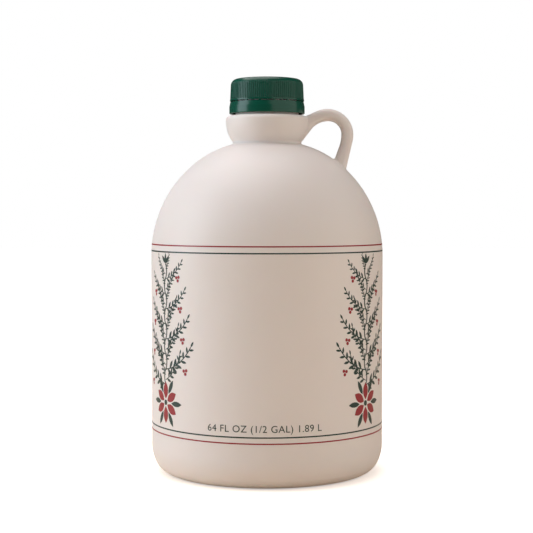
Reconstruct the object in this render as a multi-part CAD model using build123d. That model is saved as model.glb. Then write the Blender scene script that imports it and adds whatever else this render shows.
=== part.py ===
from build123d import *
import math
import os

# A half-gallon jug of maple syrup, shut: a blow-moulded jug with a finger loop, a ribbed
# screw cap, and the tamper band that the cap leaves on the neck when it is first opened.
#
# Millimetres, +Z up. The origin is the centre of the ring that the jug stands on. The
# finger loop points along +X, and the printed front faces -Y. The jug is filled and shut,
# so it is solid inside.

# Base and straight wall
body_radius = 63.5
heel_width = 11.3           # from the wall in to the flat ring that the jug stands on
heel_height = 15.0
heel_share = 0.85           # turn of the heel's upper arc, as a share of the heel's slope
ring_width = 3.5
push_up = 2.6               # rise of the dished base above the standing ring
push_up_slope = 5.0         # run of the slope from the ring to the dished base

# Shoulder: two tangent arcs from the wall to the foot of the collar
shoulder_bottom = 118.8
shoulder_top = 179.7
shoulder_share = 1.36       # turn of the lower arc, as a share of the shoulder's slope
shoulder_end_turn = 77.0    # degrees turned where the upper arc meets the collar

# Neck
neck_radius = 17.2

# Collar: the flared cup under the cap
collar_ledge = 5.3          # from the neck out to the collar's widest ring
collar_height = 15.25
collar_flare = 12.0         # height of the flare, from the foot to the widest ring
flare_width = 4.8           # from the foot out to the widest ring
collar_edge = 2.5           # rounding of the top edge
collar_fillet = 1.2         # where the flare meets the shoulder

# Screw cap
cap_clearance = 0.3
cap_wall = 2.7              # from the bore to the foot of the ribs
cap_height = 12.1
cap_top_thickness = 1.8
cap_draft = 0.35            # how much narrower the skirt is under the rounded top edge
cap_edge = 3.5
bead_height = 0.8           # plain ring under the ribs
bead_proud = 0.15
rib_count = 104
groove_depth = 0.28
groove_radius = 0.46

# Tamper band
band_gap = 1.05             # above the collar
band_proud = 0.45           # beyond the foot of the cap's ribs
band_height = 6.3
band_wall = 1.3
band_bevel_height = 2.4
band_bevel = 0.5
band_edge = 0.4
band_land_height = 2.3      # the thicker top of the band, which runs close to the neck
band_clearance = 0.4
slit = 0.6                  # between the band and the cap
bridge_count = 16
bridge_width = 0.9

# Finger loop, in the XZ plane
loop_length = 24.7          # beyond the collar
loop_rise = 3.7             # above the collar
loop_radius = 14.2          # outside of the bend
loop_depth = 12.0           # across, along Y
loop_round = 2.9            # rounding of its long edges
web_rise = 24.0             # degrees: slope of the web's top towards the bend
limb_lean = 13.0            # degrees: outside of the limb, from upright
limb_thickness = 6.2
crown_thickness = 6.3
hole_crown_radius = 7.2
hole_web_radius = 12.2
hole_web_turn = 52.3        # degrees that the web's underside turns from the crown
hole_limb_radius = 20.0
hole_limb_turn = 20.0       # degrees: inside of the limb, from upright, at its foot
root_fillet = 1.0           # where the loop meets the collar and the shoulder

# Radii and heights that follow
ring_radius = body_radius - heel_width
collar_radius = neck_radius + collar_ledge
collar_foot_radius = collar_radius - flare_width
cap_radius = neck_radius + cap_clearance + cap_wall
band_radius = cap_radius + band_proud
collar_top = shoulder_top + collar_height
band_bottom = collar_top + band_gap
band_top = band_bottom + band_height
cap_bottom = band_top + slit
cap_top = cap_bottom + cap_height
neck_top = cap_top - cap_top_thickness


def polar(centre, radius, degrees):
    """The point of a circle at an angle from +X."""
    angle = math.radians(degrees)
    return centre[0] + radius * math.cos(angle), centre[1] + radius * math.sin(angle)


def arc(centre, radius, first, last):
    """The arc of a circle from one angle to another, in degrees."""
    middle = (first + last) / 2
    return ThreePointArc(*(polar(centre, radius, angle) for angle in (first, middle, last)))


def turning_arcs(start, end, share, end_turn, up):
    """Two tangent arcs that leave an upright wall at start and bend inwards to end.

    The first turns through a share of the slope of the line from start to end, measured
    from upright, and the second on to end_turn; up is 1 or -1. The two radii solve a pair
    of linear equations: the arcs' runs add up to the distance inwards, and their rises to
    the distance along the wall.
    """
    inwards = start[0] - end[0]
    along = abs(end[1] - start[1])
    turn = share * math.degrees(math.atan2(inwards, along))
    a = math.radians(turn)
    b = math.radians(end_turn)
    runs = (1 - math.cos(a), math.cos(a) - math.cos(b))
    rises = (math.sin(a), math.sin(b) - math.sin(a))
    determinant = runs[0] * rises[1] - runs[1] * rises[0]
    first_radius = (inwards * rises[1] - runs[1] * along) / determinant
    second_radius = (runs[0] * along - rises[0] * inwards) / determinant
    first_centre = (start[0] - first_radius, start[1])
    joint = polar(first_centre, first_radius, up * turn)
    second_centre = polar(joint, second_radius, up * turn + 180)
    return [
        arc(first_centre, first_radius, 0, up * turn),
        arc(second_centre, second_radius, up * turn, up * end_turn),
    ]


def rounded(face, point, radius):
    """The face with the corner nearest to a point rounded."""
    corner = face.vertices().sort_by_distance((*point, 0))[0]
    return fillet(corner, radius)


def revolved(face):
    """A profile of (radius, height) turned about the Z axis, its seam away from the loop."""
    opposite = Plane((0, 0, 0), x_dir=(-1, 0, 0), z_dir=(0, 1, 0))
    return revolve(opposite * face, Axis.Z)


def jug_profile():
    """Half-section of the jug without its loop, from the base to the top of the neck."""
    ring_inside = ring_radius - ring_width
    dish_radius = ring_inside - push_up_slope
    wall_foot = (body_radius, heel_height)
    wall_head = (body_radius, shoulder_bottom)
    collar_foot = (collar_foot_radius, shoulder_top)
    widest = (collar_radius, shoulder_top + collar_flare)
    flare_radius = (flare_width**2 + collar_flare**2) / (2 * flare_width)
    flare_sweep = math.degrees(math.asin(collar_flare / flare_radius))
    edge_centre = (collar_radius - collar_edge, collar_top - collar_edge)
    base = Polyline((0, push_up), (dish_radius, push_up), (ring_inside, 0), (ring_radius, 0))
    neck = Polyline(
        (edge_centre[0], collar_top),
        (neck_radius, collar_top),
        (neck_radius, neck_top),
        (0, neck_top),
        (0, push_up),
    )
    outline = [
        base,
        *turning_arcs(wall_foot, (ring_radius, 0), heel_share, 90, -1),
        Line(wall_foot, wall_head),
        *turning_arcs(wall_head, collar_foot, shoulder_share, shoulder_end_turn, 1),
        arc((collar_radius - flare_radius, widest[1]), flare_radius, -flare_sweep, 0),
        Line(widest, (collar_radius, edge_centre[1])),
        arc(edge_centre, collar_edge, 0, 90),
        neck,
    ]
    face = make_face(outline)
    face = rounded(face, collar_foot, collar_fillet)
    face = rounded(face, (dish_radius, push_up), push_up)
    return rounded(face, (ring_inside, 0), push_up)


def loop_outline():
    """Outline of the finger loop, whose two ends lie inside the collar and the shoulder."""
    reach = collar_radius + loop_length
    top = collar_top + loop_rise
    inner_x = neck_radius / 2
    foot_z = (shoulder_bottom + shoulder_top) / 2
    bend = (reach - loop_radius, top - loop_radius)
    web_start = polar(bend, loop_radius, 90 + web_rise)
    web_end = (inner_x, web_start[1] - (web_start[0] - inner_x) * math.tan(math.radians(web_rise)))
    limb_start = polar(bend, loop_radius, -limb_lean)
    limb_drop = limb_start[1] - foot_z
    limb_end = (limb_start[0] - limb_drop * math.tan(math.radians(limb_lean)), foot_z)

    hole_side = reach - limb_thickness
    hole_top = top - crown_thickness
    crown = (hole_side - hole_crown_radius, hole_top - hole_crown_radius)
    web = (crown[0], hole_top - hole_web_radius)
    limb = (hole_side - hole_limb_radius, crown[1])
    inside_start = polar(limb, hole_limb_radius, -hole_limb_turn)
    inside_drop = inside_start[1] - foot_z
    inside_end = (inside_start[0] - inside_drop * math.tan(math.radians(hole_limb_turn)), foot_z)
    under_start = polar(web, hole_web_radius, 90 + hole_web_turn)
    under_run = under_start[0] - inner_x
    under_end = (inner_x, under_start[1] - under_run * math.tan(math.radians(hole_web_turn)))
    return make_face([
        Line(web_end, web_start),
        arc(bend, loop_radius, 90 + web_rise, -limb_lean),
        Polyline(limb_start, limb_end, inside_end, inside_start),
        arc(limb, hole_limb_radius, -hole_limb_turn, 0),
        arc(crown, hole_crown_radius, 0, 90),
        arc(web, hole_web_radius, 90, 90 + hole_web_turn),
        Polyline(under_start, under_end, web_end),
    ])


def finger_loop():
    """The loop as a plate with rounded long edges."""
    plate = extrude(Plane.XZ * loop_outline(), loop_depth / 2, both=True)
    long_edges = plate.edges().filter_by(Axis.Y, reverse=True)
    return fillet(long_edges, loop_round)


def make_jug():
    """The body and the loop in one piece, as they leave the mould."""
    body = revolved(jug_profile())
    loop = finger_loop()
    jug = body + loop
    on_both = 0.001
    seams = jug.edges().filter_by(
        lambda edge: max(solid.distance_to(edge.center()) for solid in (body, loop)) < on_both
    )
    return fillet(seams, root_fillet)


def cap_shell():
    """The cap without its grooves: a drafted skirt, a rounded top edge and a bore."""
    bead_top = cap_bottom + bead_height
    edge_radius = cap_radius - cap_draft
    bead_radius = cap_radius + bead_proud
    edge_centre = (edge_radius - cap_edge, cap_top - cap_edge)
    outline = make_face([
        Polyline(
            (0, cap_top),
            (0, cap_bottom),
            (bead_radius, cap_bottom),
            (bead_radius, bead_top),
            (cap_radius, bead_top),
            (edge_radius, edge_centre[1]),
        ),
        arc(edge_centre, cap_edge, 0, 90),
        Line((edge_centre[0], cap_top), (0, cap_top)),
    ])
    bore_radius = neck_radius + cap_clearance
    bore = Pos(0, 0, cap_bottom) * Cylinder(
        bore_radius, neck_top - cap_bottom, align=(Align.CENTER, Align.CENTER, Align.MIN)
    )
    return revolved(outline) - bore


def cap_grooves():
    """Round-bottomed grooves between the ribs, leaning in with the skirt's draft."""
    foot_z = cap_bottom + bead_height
    height = cap_top - foot_z
    skirt_height = height - cap_edge
    foot_x = cap_radius - groove_depth + groove_radius
    head_x = foot_x - cap_draft * height / skirt_height
    path = Line((foot_x, 0, foot_z), (head_x, 0, cap_top))
    groove = sweep(Plane((foot_x, 0, foot_z)) * Circle(groove_radius), path)
    return [Rot(0, 0, 360 * i / rib_count) * groove for i in range(rib_count)]


def make_cap():
    """The ribbed screw cap, seated on the top of the neck."""
    return cap_shell() - cap_grooves()


def make_band():
    """The tamper band, with the bridges that hold it to the cap."""
    inside = band_radius - band_wall
    land_radius = neck_radius + band_clearance
    land_bottom = band_top - band_land_height
    bevel_bottom = band_top - band_bevel_height
    outline = make_face(Polyline(
        (inside, band_bottom),
        (band_radius, band_bottom),
        (band_radius, bevel_bottom),
        (band_radius - band_bevel, band_top),
        (land_radius, band_top),
        (land_radius, land_bottom),
        (inside, land_bottom),
        close=True,
    ))
    outline = rounded(outline, (inside, band_bottom), band_edge)
    outline = rounded(outline, (band_radius, band_bottom), band_edge)
    ring = revolved(outline)
    bridge_length = band_wall - band_bevel
    bridge_middle = band_radius - band_bevel - bridge_length / 2
    bridge = Pos(bridge_middle, 0, band_top + slit / 2) * Box(bridge_length, bridge_width, slit)
    return ring + [Rot(0, 0, 360 * (i + 0.5) / bridge_count) * bridge for i in range(bridge_count)]


os.makedirs("parts", exist_ok=True)
export_step(make_jug(), "parts/jug.step")
export_step(make_cap(), "parts/cap.step")
export_step(make_band(), "parts/tamper_band.step")
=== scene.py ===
import math

import bpy
from bpy.props import FloatProperty, FloatVectorProperty, IntProperty, PointerProperty, StringProperty
from mathutils import Matrix, Vector


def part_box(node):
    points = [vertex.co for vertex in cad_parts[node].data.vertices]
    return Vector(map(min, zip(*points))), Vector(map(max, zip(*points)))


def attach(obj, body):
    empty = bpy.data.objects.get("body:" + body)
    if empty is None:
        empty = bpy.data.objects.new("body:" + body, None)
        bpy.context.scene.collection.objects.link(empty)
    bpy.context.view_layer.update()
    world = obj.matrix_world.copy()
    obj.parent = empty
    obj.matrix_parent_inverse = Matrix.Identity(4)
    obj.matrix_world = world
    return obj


bl_info = {
    "name": "Syrup jug",
    "version": (1, 0, 0),
    "blender": (4, 5, 0),
    "location": "View3D > Sidebar > Syrup jug",
    "description": "Finishes, prints and lights a shut jug of syrup",
    "category": "Object",
}

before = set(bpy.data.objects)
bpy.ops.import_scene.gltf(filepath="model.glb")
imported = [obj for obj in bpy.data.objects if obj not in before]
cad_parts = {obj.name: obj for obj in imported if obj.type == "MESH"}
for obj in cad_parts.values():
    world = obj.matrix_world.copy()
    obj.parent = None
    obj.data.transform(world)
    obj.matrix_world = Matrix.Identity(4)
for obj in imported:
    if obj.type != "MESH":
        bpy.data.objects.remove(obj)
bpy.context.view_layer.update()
JUG_LOW, JUG_HIGH = (Vector(corner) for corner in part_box("jug"))
BODY_RADIUS = (JUG_HIGH.x - JUG_LOW.x) / 2
MM = 0.001
MIRROR = Matrix.Diagonal((-1.0, 1.0, 1.0, 1.0))

# The print's motifs: shares are of the length that the settings give

LEAF_SHARE = 0.42
LEAF_TIP = 1.22
LEAF_LEAN_DEGREES = 46
BERRY_SPOTS = ((0.0, 0.0), (2.15, 0.5), (0.75, 2.1))
SHOOT_TURN = math.radians(52)
SHOOT_WIDTH = 0.6 * MM
STEM_HALF_TURN = math.radians(35)
STEM_WIDTH = 0.85 * MM
STEM_END_GAP = 6 * MM
STEM_TAPER = 0.42
CROWN_DEGREES = (48, 90, 132)
PETAL_SHARE = 0.62
PETAL_START = 0.26
FLOWER_RISE = 1.9
STEM_START = 1.3

# Each wave of a stem carries three shoots: across the stem or not, how far up the wave,
# the turn in degrees and the size
WAVE_SHOOTS = ((False, 0.0, 6, 1.0), (True, 0.3, 22, 0.74), (False, 0.62, 40, 0.52))

# Softboxes: name, position, width and height, watts, colour
LIGHTS = (
    ("key_light", (-1.29, -0.19, 0.45), (0.87, 1.2), 14.6, (0.80, 0.90, 1.0)),
    ("side_light", (0.95, -0.60, 0.45), (2.2, 1.3), 9.2, (1.0, 0.97, 0.93)),
    ("top_light", (-0.25, 0.15, 1.30), (1.2, 1.2), 13.1, (1.0, 0.93, 0.93)),
)
FLOOR_SIZE = 8.0
FLOOR_COLOUR = (0.92, 0.75, 0.58, 1)
SHADE_COLOUR = (1.0, 0.90, 0.80, 1)
SHADE_STRENGTH = 0.06


class SyrupJugSettings(bpy.types.PropertyGroup):
    """Sizes and colours of the jug's finish and print."""

    plastic_colour: FloatVectorProperty(
        name="Jug", description="Colour of the jug's plastic",
        subtype="COLOR", size=4, min=0, max=1, default=(0.80, 0.745, 0.71, 1),
    )
    cap_colour: FloatVectorProperty(
        name="Cap", description="Colour of the cap and its tamper band",
        subtype="COLOR", size=4, min=0, max=1, default=(0.002, 0.075, 0.047, 1),
    )
    green_ink: FloatVectorProperty(
        name="Green ink", description="Colour of the dark print",
        subtype="COLOR", size=4, min=0, max=1, default=(0.006, 0.036, 0.026, 1),
    )
    red_ink: FloatVectorProperty(
        name="Red ink", description="Colour of the red print",
        subtype="COLOR", size=4, min=0, max=1, default=(0.32, 0.012, 0.020, 1),
    )
    ink_proud: FloatProperty(
        name="Ink height", description="How far the ink stands off the wall",
        unit="LENGTH", default=0.06 * MM,
    )
    ink_thickness: FloatProperty(
        name="Ink thickness", description="Thickness of the ink, most of it in the wall",
        unit="LENGTH", default=0.12 * MM,
    )
    upper_red: FloatProperty(
        name="Upper red rule", description="Height of the upper red rule",
        unit="LENGTH", default=125.0 * MM,
    )
    upper_green: FloatProperty(
        name="Upper green rule", description="Height of the upper green rule",
        unit="LENGTH", default=121.5 * MM,
    )
    lower_green: FloatProperty(
        name="Lower green rule", description="Height of the lower green rule",
        unit="LENGTH", default=27.95 * MM,
    )
    lower_red: FloatProperty(
        name="Lower red rule", description="Height of the lower red rule",
        unit="LENGTH", default=24.75 * MM,
    )
    rule_width: FloatProperty(
        name="Rule width", description="Width of each printed rule",
        unit="LENGTH", default=0.7 * MM,
    )
    volume_text: StringProperty(
        name="Volume line", description="The printed volume", default="64 FL OZ (1/2 GAL) 1.89 L",
    )
    volume_height: FloatProperty(
        name="Volume line height", description="Height of the middle of the volume line",
        unit="LENGTH", default=32.15 * MM,
    )
    volume_length: FloatProperty(
        name="Volume line length", description="Length of the volume line round the wall",
        unit="LENGTH", default=60.6 * MM,
    )
    print_turn: FloatProperty(
        name="Print turn", description="How far the print is turned from the front",
        subtype="ANGLE", default=math.radians(-1.3),
    )
    sprig_turn: FloatProperty(
        name="Sprig turn", description="Angle of the side sprigs from the front and the back",
        subtype="ANGLE", default=math.radians(56),
    )
    sprig_segments: IntProperty(
        name="Stem waves", description="Number of half waves in a sprig's stem", default=8,
    )
    shoot_length: FloatProperty(
        name="Shoot length", description="Length of the longest side shoot of the sprig",
        unit="LENGTH", default=27 * MM,
    )
    shoot_leaves: IntProperty(
        name="Shoot leaves", description="Leaves along the two sides of a shoot", default=11,
    )
    petal_length: FloatProperty(
        name="Petal length", description="Length of a petal of the flower under the sprig",
        unit="LENGTH", default=7.4 * MM,
    )
    petal_count: IntProperty(name="Petals", description="Petals of the flower", default=6)
    leaf_length: FloatProperty(
        name="Leaf length", description="Length of a leaf of the sprig",
        unit="LENGTH", default=4.4 * MM,
    )
    berry_radius: FloatProperty(
        name="Berry radius", description="Radius of a printed berry",
        unit="LENGTH", default=1.1 * MM,
    )
    seam_radius: FloatProperty(
        name="Parting line", description="Radius of the ridge that the mould's halves leave",
        unit="LENGTH", default=0.12 * MM,
    )
    camera_side: FloatProperty(
        name="Camera side", description="How far the camera is to the side of the jug's axis",
        unit="LENGTH", default=-0.28 * MM,
    )
    camera_distance: FloatProperty(
        name="Camera distance", description="Distance of the camera from the jug's axis",
        unit="LENGTH", default=0.746,
    )
    camera_height: FloatProperty(
        name="Camera height", description="Height of the camera above the floor",
        unit="LENGTH", default=0.1447,
    )
    camera_pitch: FloatProperty(
        name="Camera pitch", description="How far the camera looks down",
        subtype="ANGLE", default=math.radians(2.485),
    )
    camera_lens: FloatProperty(
        name="Lens", description="Focal length on a 36 mm sensor, in millimetres", default=91.47,
    )


# Selecting, applying and joining

def only(piece):
    """Select one object and make it active."""
    bpy.ops.object.select_all(action="DESELECT")
    piece.select_set(True)
    bpy.context.view_layer.objects.active = piece


def finish_modifier(piece, kind, **values):
    """Add a modifier, set it and apply it."""
    modifier = piece.modifiers.new(kind.title(), kind)
    for name, value in values.items():
        setattr(modifier, name, value)
    only(piece)
    bpy.ops.object.modifier_apply(modifier=modifier.name)


def settle(piece):
    """Move the object's transform into its mesh."""
    only(piece)
    bpy.ops.object.transform_apply(location=True, rotation=True, scale=True)


def copied(piece, matrix):
    """A copy with its own mesh, placed by a matrix that goes into the mesh."""
    twin = piece.copy()
    twin.data = piece.data.copy()
    bpy.context.collection.objects.link(twin)
    twin.data.transform(matrix)
    if matrix.determinant() < 0:
        twin.data.flip_normals()
    return twin


def joined(pieces, name):
    """Join objects into the first and name it."""
    only(pieces[0])
    for piece in pieces:
        piece.select_set(True)
    bpy.ops.object.join()
    whole = bpy.context.active_object
    whole.name = name
    whole.data.name = name
    return whole


def removed(pieces):
    """Delete the patterns that copies were taken from."""
    for piece in pieces:
        bpy.data.objects.remove(piece)


def place(x, y, degrees=0.0, size=1.0):
    """Matrix in the flat print's plane: scale, turn, move."""
    turn = Matrix.Rotation(math.radians(degrees), 4, "Z")
    return Matrix.Translation((x, y, 0)) @ turn @ Matrix.Scale(size, 4)


# Shader groups and materials

def new_group(name, inputs, outputs):
    """A shader node group with named sockets."""
    group = bpy.data.node_groups.new(name, "ShaderNodeTree")
    for label, kind, value in inputs:
        socket = group.interface.new_socket(name=label, in_out="INPUT", socket_type=kind)
        socket.default_value = value
    for label, kind in outputs:
        group.interface.new_socket(name=label, in_out="OUTPUT", socket_type=kind)
    return group


def noise(nodes, links, vector, scale, detail):
    """A noise texture on a vector, with its scale linked or set."""
    node = nodes.new("ShaderNodeTexNoise")
    node.inputs["Detail"].default_value = detail
    links.new(vector, node.inputs["Vector"])
    if isinstance(scale, float):
        node.inputs["Scale"].default_value = scale
    else:
        links.new(scale, node.inputs["Scale"])
    return node.outputs["Fac"]


def ranged(nodes, links, value, low, high):
    """Map a 0 to 1 value to a range whose ends are numbers or sockets."""
    node = nodes.new("ShaderNodeMapRange")
    links.new(value, node.inputs["Value"])
    for label, end in (("To Min", low), ("To Max", high)):
        if isinstance(end, (int, float)):
            node.inputs[label].default_value = end
        else:
            links.new(end, node.inputs[label])
    return node.outputs["Result"]


def surface_group():
    """Moulded or printed surface: uneven colour, uneven gloss and a fine grain."""
    group = new_group(
        "moulded_surface",
        [
            ("Colour", "NodeSocketColor", (0.8, 0.8, 0.8, 1)),
            ("Mottle", "NodeSocketFloat", 0.05),
            ("Roughness", "NodeSocketFloat", 0.4),
            ("Gloss Spread", "NodeSocketFloat", 0.08),
            ("Grain Scale", "NodeSocketFloat", 1500.0),
            ("Grain Height", "NodeSocketFloat", 0.00002),
        ],
        [("Colour", "NodeSocketColor"), ("Roughness", "NodeSocketFloat"), ("Normal", "NodeSocketVector")],
    )
    nodes, links = group.nodes, group.links
    source = nodes.new("NodeGroupInput")
    sink = nodes.new("NodeGroupOutput")
    where = nodes.new("ShaderNodeTexCoord").outputs["Object"]

    cloud = noise(nodes, links, where, 28.0, 4.0)
    less = nodes.new("ShaderNodeMath")
    less.operation = "SUBTRACT"
    less.inputs[0].default_value = 1.0
    links.new(source.outputs["Mottle"], less.inputs[1])
    shade = ranged(nodes, links, cloud, less.outputs[0], 1.0)
    tint = nodes.new("ShaderNodeVectorMath")
    tint.operation = "SCALE"
    links.new(source.outputs["Colour"], tint.inputs[0])
    links.new(shade, tint.inputs["Scale"])
    links.new(tint.outputs["Vector"], sink.inputs["Colour"])

    smear = noise(nodes, links, where, 90.0, 3.0)
    duller = nodes.new("ShaderNodeMath")
    duller.operation = "ADD"
    links.new(source.outputs["Roughness"], duller.inputs[0])
    links.new(source.outputs["Gloss Spread"], duller.inputs[1])
    rough = ranged(nodes, links, smear, source.outputs["Roughness"], duller.outputs[0])
    links.new(rough, sink.inputs["Roughness"])

    grain = noise(nodes, links, where, source.outputs["Grain Scale"], 2.0)
    bump = nodes.new("ShaderNodeBump")
    bump.inputs["Strength"].default_value = 1.0
    links.new(source.outputs["Grain Height"], bump.inputs["Distance"])
    links.new(grain, bump.inputs["Height"])
    links.new(bump.outputs["Normal"], sink.inputs["Normal"])
    return group


def surface_material(name, colour, mottle, roughness, spread, grain_scale, grain_height, **shader):
    """A material whose colour, gloss and grain come from the shared group."""
    group = bpy.data.node_groups.get("moulded_surface") or surface_group()
    material = bpy.data.materials.new(name)
    material.use_nodes = True
    nodes, links = material.node_tree.nodes, material.node_tree.links
    principled = nodes["Principled BSDF"]
    effect = nodes.new("ShaderNodeGroup")
    effect.node_tree = group
    effect.location = (-320, 100)
    effect.inputs["Colour"].default_value = colour
    effect.inputs["Mottle"].default_value = mottle
    effect.inputs["Roughness"].default_value = roughness
    effect.inputs["Gloss Spread"].default_value = spread
    effect.inputs["Grain Scale"].default_value = grain_scale
    effect.inputs["Grain Height"].default_value = grain_height
    links.new(effect.outputs["Colour"], principled.inputs["Base Color"])
    links.new(effect.outputs["Roughness"], principled.inputs["Roughness"])
    links.new(effect.outputs["Normal"], principled.inputs["Normal"])
    for label, value in shader.items():
        principled.inputs[label.replace("_", " ")].default_value = value
    return material


def ink(name, colour):
    """Screen ink: slightly uneven and a little glossier than the plastic."""
    found = bpy.data.materials.get(name)
    return found or surface_material(
        name, colour, mottle=0.18, roughness=0.36, spread=0.12,
        grain_scale=2600.0, grain_height=0.000004,
    )


def dressed(piece, material):
    """Give a piece its only material."""
    piece.data.materials.clear()
    piece.data.materials.append(material)


def printed(piece, name, material, settings, layer=0):
    """Lay a sheet on the wall, thicken it into the wall and ride it on the jug."""
    proud = settings.ink_proud * (1 + 0.5 * layer)
    finish_modifier(
        piece, "SHRINKWRAP", target=bpy.data.objects["jug"],
        wrap_method="NEAREST_SURFACEPOINT", wrap_mode="ABOVE_SURFACE", offset=proud,
    )
    finish_modifier(piece, "SOLIDIFY", thickness=settings.ink_thickness, offset=-1)
    piece.name = name
    dressed(piece, material)
    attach(piece, "root")


def wrapped(piece):
    """Stand a flat print up and bend it round the wall."""
    piece.data.transform(Matrix.Rotation(math.radians(90), 4, "X"))
    across = [vertex.co.x for vertex in piece.data.vertices]
    finish_modifier(
        piece, "SIMPLE_DEFORM", deform_method="BEND", deform_axis="Z",
        angle=(max(across) - min(across)) / BODY_RADIUS,
    )
    piece.data.transform(Matrix.Translation((0, -BODY_RADIUS, 0)))


# Flat motifs, in the plane of the print: x along the wall and y up

def flat_leaf(length, share=LEAF_SHARE):
    """A pointed leaf from the origin along +X; share is its width to its length."""
    bpy.ops.mesh.primitive_circle_add(vertices=12, radius=length / 2, fill_type="TRIFAN")
    leaf = bpy.context.active_object
    leaf.data.transform(Matrix.Diagonal((1.0, share, 1.0, 1.0)))
    tips = [vertex for vertex in leaf.data.vertices if abs(vertex.co.x) > length * 0.49]
    for vertex in tips:
        vertex.co.x *= LEAF_TIP
    leaf.data.transform(Matrix.Translation((length * LEAF_TIP / 2, 0, 0)))
    return leaf


def flat_disc(radius):
    """A round berry."""
    bpy.ops.mesh.primitive_circle_add(vertices=16, radius=radius, fill_type="TRIFAN")
    return bpy.context.active_object


def flat_twig(length, width, turn, steps=9):
    """A thin strip from the origin along +X that bends to the left through turn radians."""
    bpy.ops.mesh.primitive_grid_add(x_subdivisions=steps, y_subdivisions=1, size=1)
    twig = bpy.context.active_object
    twig.data.transform(Matrix.Diagonal((length, width, 1.0, 1.0)))
    twig.data.transform(Matrix.Translation((length / 2, 0, 0)))
    finish_modifier(twig, "SIMPLE_DEFORM", deform_method="BEND", deform_axis="Z", angle=turn)
    return twig


def on_twig(length, turn, share):
    """Point and direction, in degrees, part of the way along a bent twig."""
    radius = length / turn
    angle = turn * share
    return radius * math.sin(angle), radius * (1 - math.cos(angle)), math.degrees(angle)


def leafy_shoot(settings):
    """One side shoot: a bent twig with leaves on both sides and one at its end."""
    length = settings.shoot_length
    count = settings.shoot_leaves
    leaf = flat_leaf(settings.leaf_length)
    pieces = [flat_twig(length, SHOOT_WIDTH, SHOOT_TURN)]
    for number in range(count):
        share = (number + 1) / (count + 1)
        x, y, along = on_twig(length, SHOOT_TURN, share)
        lean = LEAF_LEAN_DEGREES if number % 2 else -LEAF_LEAN_DEGREES
        pieces.append(copied(leaf, place(x, y, along + lean, 1.08 - 0.45 * share)))
    x, y, along = on_twig(length, SHOOT_TURN, 1.0)
    pieces.append(copied(leaf, place(x, y, along, 0.7)))
    removed([leaf])
    return joined(pieces, "shoot")


def berry_spray(radius):
    """Three berries in a close bunch."""
    berry = flat_disc(radius)
    pieces = [copied(berry, place(x * radius, y * radius)) for x, y in BERRY_SPOTS]
    removed([berry])
    return joined(pieces, "spray")


def flower_petals(settings):
    """A ring of broad petals round a bare eye."""
    petal = flat_leaf(settings.petal_length, PETAL_SHARE)
    inside = settings.petal_length * PETAL_START
    turns = [360 * number / settings.petal_count for number in range(settings.petal_count)]
    pieces = [copied(petal, place(0, 0, 90 + turn) @ place(inside, 0)) for turn in turns]
    removed([petal])
    return joined(pieces, "petals")


def flower_leaves(settings):
    """The green of a flower: its eye and a leaf between each two petals."""
    petal = settings.petal_length
    eye = flat_disc(petal * 0.2)
    leaf = flat_leaf(petal * 0.95, 0.4)
    turns = [360 * (number + 0.5) / settings.petal_count for number in range(settings.petal_count)]
    pieces = [copied(leaf, place(0, 0, 90 + turn) @ place(petal * 0.75, 0)) for turn in turns]
    pieces.append(eye)
    removed([leaf])
    return joined(pieces, "flower_green")


def sprig(settings):
    """A stem that climbs from a flower, with shoots and berries: a green and a red sheet."""
    flower_height = settings.lower_green + FLOWER_RISE * settings.petal_length
    low = flower_height + STEM_START * settings.petal_length
    high = settings.upper_green - STEM_END_GAP
    rise = (high - low) / settings.sprig_segments
    wave_length = rise * STEM_HALF_TURN / math.sin(STEM_HALF_TURN)
    stem = flat_twig(wave_length, STEM_WIDTH, 2 * STEM_HALF_TURN)
    shoot = leafy_shoot(settings)
    leaf = flat_leaf(settings.leaf_length)
    spray = berry_spray(settings.berry_radius)
    bunch = Vector((settings.shoot_length * 0.66, -settings.leaf_length * 0.7, 0))
    green = [flower_leaves(settings)]
    red = [flower_petals(settings)]
    for sheet in (*green, *red):
        sheet.data.transform(place(0, flower_height))
    for number in range(settings.sprig_segments):
        flip = MIRROR if number % 2 else Matrix.Identity(4)
        foot = low + number * rise
        size = 1.0 - STEM_TAPER * number / settings.sprig_segments
        green.append(copied(stem, flip @ place(0, foot, 90 - math.degrees(STEM_HALF_TURN))))
        for across, climb, degrees, share in WAVE_SHOOTS:
            side = flip @ MIRROR if across else flip
            green.append(copied(shoot, side @ place(0, foot + rise * climb, degrees, size * share)))
        first_degrees = WAVE_SHOOTS[0][2]
        spot = flip @ place(0, foot, first_degrees, size) @ bunch
        red.append(copied(spray, place(spot.x, spot.y, 40, 0.8)))
    green += [copied(leaf, place(0, high, degrees)) for degrees in CROWN_DEGREES]
    removed([stem, shoot, leaf, spray])
    return joined(green, "sprig_green"), joined(red, "sprig_red")


# Operators, one for each piece or group of like pieces

class FinishPlastics(bpy.types.Operator):
    """Give the jug, the cap and the tamper band their plastics"""

    bl_idname = "syrup_jug.finish_plastics"
    bl_label = "Finish the plastics"

    def execute(self, context):
        settings = context.scene.syrup_jug
        jug_plastic = surface_material(
            "jug_plastic", settings.plastic_colour, mottle=0.035, roughness=0.42, spread=0.10,
            grain_scale=1400.0, grain_height=0.000010,
            Specular_IOR_Level=0.45, Subsurface_Weight=0.08, Subsurface_Scale=0.004,
        )
        cap_plastic = surface_material(
            "cap_plastic", settings.cap_colour, mottle=0.10, roughness=0.17, spread=0.10,
            grain_scale=900.0, grain_height=0.000005,
            Specular_IOR_Level=0.35,
        )
        for node, material in (("jug", jug_plastic), ("cap", cap_plastic), ("tamper_band", cap_plastic)):
            dressed(bpy.data.objects[node], material)
        return {"FINISHED"}


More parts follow.
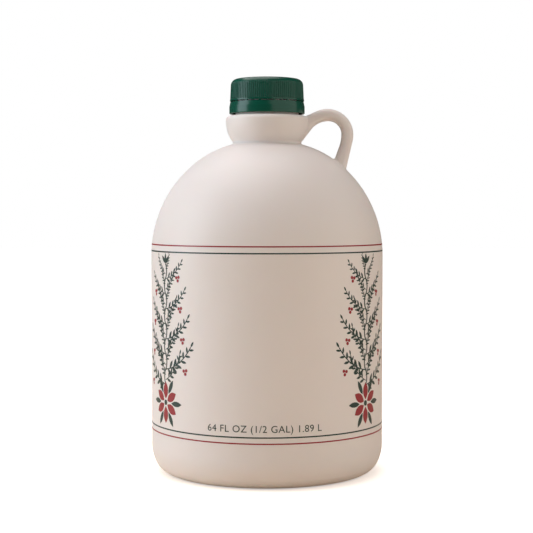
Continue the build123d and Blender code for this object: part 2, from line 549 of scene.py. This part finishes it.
class PrintRules(bpy.types.Operator):
    """Print the red and green rules round the wall"""

    bl_idname = "syrup_jug.print_rules"
    bl_label = "Print the rules"

    def execute(self, context):
        settings = context.scene.syrup_jug
        green = ink("green_ink", settings.green_ink)
        red = ink("red_ink", settings.red_ink)
        rules = (
            ("rule_upper_red", settings.upper_red, red),
            ("rule_upper_green", settings.upper_green, green),
            ("rule_lower_green", settings.lower_green, green),
            ("rule_lower_red", settings.lower_red, red),
        )
        for name, height, material in rules:
            bpy.ops.mesh.primitive_cylinder_add(
                vertices=288, radius=BODY_RADIUS, depth=settings.rule_width,
                end_fill_type="NOTHING", location=(0, 0, height),
            )
            ring = bpy.context.active_object
            settle(ring)
            printed(ring, name, material, settings)
        return {"FINISHED"}


class PrintVolume(bpy.types.Operator):
    """Print the volume line on the front and the back"""

    bl_idname = "syrup_jug.print_volume"
    bl_label = "Print the volume"

    def execute(self, context):
        settings = context.scene.syrup_jug
        for name, turn in (("volume_front", 0.0), ("volume_back", math.pi)):
            bpy.ops.object.text_add()
            words = bpy.context.active_object
            words.data.body = settings.volume_text
            words.data.align_x = "CENTER"
            words.data.align_y = "CENTER"
            words.data.space_character = 1.06
            words.data.resolution_u = 4
            bpy.ops.object.convert(target="MESH")
            words = bpy.context.active_object
            scale = settings.volume_length / words.dimensions.x
            words.data.transform(Matrix.Scale(scale, 4))
            words.data.transform(Matrix.Translation((0, settings.volume_height, 0)))
            wrapped(words)
            words.data.transform(Matrix.Rotation(turn + settings.print_turn, 4, "Z"))
            printed(words, name, ink("green_ink", settings.green_ink), settings)
        return {"FINISHED"}


class PrintSprigs(bpy.types.Operator):
    """Print the climbing sprigs at both sides of the front and the back"""

    bl_idname = "syrup_jug.print_sprigs"
    bl_label = "Print the sprigs"

    def execute(self, context):
        settings = context.scene.syrup_jug
        sheets = sprig(settings)
        inks = (ink("green_ink", settings.green_ink), ink("red_ink", settings.red_ink))
        places = [
            (MIRROR, -settings.sprig_turn),
            (Matrix.Identity(4), settings.sprig_turn),
            (MIRROR, math.pi - settings.sprig_turn),
            (Matrix.Identity(4), math.pi + settings.sprig_turn),
        ]
        for layer, (sheet, material) in enumerate(zip(sheets, inks)):
            for number, (flip, turn) in enumerate(places, 1):
                piece = copied(sheet, flip)
                wrapped(piece)
                piece.data.transform(Matrix.Rotation(turn + settings.print_turn, 4, "Z"))
                printed(piece, f"{sheet.name}_{number}", material, settings, layer)
        removed(sheets)
        return {"FINISHED"}


class AddPartingLine(bpy.types.Operator):
    """Run the mould's parting line round the jug, through the loop"""

    bl_idname = "syrup_jug.add_parting_line"
    bl_label = "Add the parting line"

    def execute(self, context):
        settings = context.scene.syrup_jug
        line = copied(bpy.data.objects["jug"], Matrix.Identity(4))
        only(line)
        bpy.ops.object.mode_set(mode="EDIT")
        bpy.ops.mesh.select_all(action="SELECT")
        bpy.ops.mesh.remove_doubles(threshold=0.00001)
        bpy.ops.mesh.select_all(action="SELECT")
        bpy.ops.mesh.bisect(
            plane_co=(0, 0.00001, 0), plane_no=(0, 1, 0), clear_inner=True, clear_outer=True,
        )
        bpy.ops.object.mode_set(mode="OBJECT")
        bpy.ops.object.convert(target="CURVE")
        line = bpy.context.active_object
        line.data.bevel_depth = settings.seam_radius
        line.data.bevel_resolution = 1
        bpy.ops.object.convert(target="MESH")
        line = bpy.context.active_object
        line.name = "parting_line"
        dressed(line, bpy.data.materials["jug_plastic"])
        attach(line, "root")
        return {"FINISHED"}


class SetStage(bpy.types.Operator):
    """Set the floor, the lights and the camera"""

    bl_idname = "syrup_jug.set_stage"
    bl_label = "Set the stage"

    def execute(self, context):
        settings = context.scene.syrup_jug
        add_floor()
        add_world()
        aim = Vector((0, 0, JUG_HIGH.z / 2))
        for name, position, size, power, colour in LIGHTS:
            add_light(name, position, aim, size, power, colour)
        camera_data = bpy.data.cameras.new("camera")
        camera_data.lens = settings.camera_lens
        camera_data.sensor_width = 36.0
        camera = bpy.data.objects.new("camera", camera_data)
        camera.location = (settings.camera_side, -settings.camera_distance, settings.camera_height)
        camera.rotation_euler = (math.radians(90) - settings.camera_pitch, 0, 0)
        bpy.context.collection.objects.link(camera)
        context.scene.camera = camera
        context.scene.view_settings.view_transform = "Standard"
        return {"FINISHED"}


def add_floor():
    """A wide pale floor: white where it is seen, with a painted shadow round the foot, where its glow is
    weaker, over the real shadow there.
    """
    bpy.ops.mesh.primitive_plane_add(size=FLOOR_SIZE)
    floor = bpy.context.active_object
    floor.name = "floor"
    material = bpy.data.materials.new("floor")
    material.use_nodes = True
    principled = material.node_tree.nodes["Principled BSDF"]
    principled.inputs["Base Color"].default_value = FLOOR_COLOUR
    principled.inputs["Roughness"].default_value = 0.9
    principled.inputs["Emission Color"].default_value = (1, 1, 1, 1)
    nodes, links = material.node_tree.nodes, material.node_tree.links
    where = nodes.new("ShaderNodeTexCoord").outputs["Object"]
    distance = nodes.new("ShaderNodeVectorMath")
    distance.operation = "LENGTH"
    links.new(where, distance.inputs[0])
    # Painted shadow: the glow that the camera sees rises from 0.3 within 50 mm of the axis to full
    # strength beyond 75 mm, which darkens the floor round the foot.
    spread = nodes.new("ShaderNodeMapRange")
    links.new(distance.outputs["Value"], spread.inputs["Value"])
    foot = {"From Min": 0.05, "From Max": 0.075, "To Min": 0.3, "To Max": 1.0}
    for label, value in foot.items():
        spread.inputs[label].default_value = value
    seen = nodes.new("ShaderNodeLightPath")
    glow_with_painted_shadow = nodes.new("ShaderNodeMath")
    glow_with_painted_shadow.operation = "MULTIPLY"
    links.new(seen.outputs["Is Camera Ray"], glow_with_painted_shadow.inputs[0])
    links.new(spread.outputs["Result"], glow_with_painted_shadow.inputs[1])
    links.new(glow_with_painted_shadow.outputs["Value"], principled.inputs["Emission Strength"])
    dressed(floor, material)


def add_world():
    """A white backdrop that lights the jug only a little."""
    world = bpy.data.worlds.new("studio")
    bpy.context.scene.world = world
    world.use_nodes = True
    nodes, links = world.node_tree.nodes, world.node_tree.links
    shown = nodes["Background"]
    shown.inputs["Color"].default_value = (1, 1, 1, 1)
    shown.inputs["Strength"].default_value = 1.0
    lit = nodes.new("ShaderNodeBackground")
    lit.inputs["Color"].default_value = SHADE_COLOUR
    lit.inputs["Strength"].default_value = SHADE_STRENGTH
    path = nodes.new("ShaderNodeLightPath")
    mix = nodes.new("ShaderNodeMixShader")
    links.new(path.outputs["Is Camera Ray"], mix.inputs["Fac"])
    links.new(lit.outputs["Background"], mix.inputs[1])
    links.new(shown.outputs["Background"], mix.inputs[2])
    links.new(mix.outputs["Shader"], nodes["World Output"].inputs["Surface"])


def add_light(name, position, aim, size, power, colour):
    """A rectangular softbox aimed at a point."""
    data = bpy.data.lights.new(name, "AREA")
    data.shape = "RECTANGLE"
    data.size, data.size_y = size
    data.energy = power
    data.color = colour
    light = bpy.data.objects.new(name, data)
    light.location = position
    light.rotation_euler = (aim - Vector(position)).to_track_quat("-Z", "Y").to_euler()
    bpy.context.collection.objects.link(light)


class SyrupJugPanel(bpy.types.Panel):
    """Lists the jug's settings and steps in the sidebar"""

    bl_idname = "VIEW3D_PT_syrup_jug"
    bl_label = "Syrup jug"
    bl_space_type = "VIEW_3D"
    bl_region_type = "UI"
    bl_category = "Syrup jug"

    def draw(self, context):
        settings = context.scene.syrup_jug
        for name in settings.bl_rna.properties.keys():
            if name not in ("rna_type", "name"):
                self.layout.prop(settings, name)
        for step in STEPS:
            self.layout.operator(step.bl_idname)


STEPS = (FinishPlastics, PrintRules, PrintVolume, PrintSprigs, AddPartingLine, SetStage)
CLASSES = (SyrupJugSettings, *STEPS, SyrupJugPanel)


def register():
    for item in CLASSES:
        bpy.utils.register_class(item)
    bpy.types.Scene.syrup_jug = PointerProperty(type=SyrupJugSettings)


def unregister():
    del bpy.types.Scene.syrup_jug
    for item in reversed(CLASSES):
        bpy.utils.unregister_class(item)


def main():
    """Register the add-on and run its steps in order."""
    register()
    bpy.ops.syrup_jug.finish_plastics()
    bpy.ops.syrup_jug.print_rules()
    bpy.ops.syrup_jug.print_volume()
    bpy.ops.syrup_jug.print_sprigs()
    bpy.ops.syrup_jug.add_parting_line()
    bpy.ops.syrup_jug.set_stage()


if __name__ == "__main__":
    main()
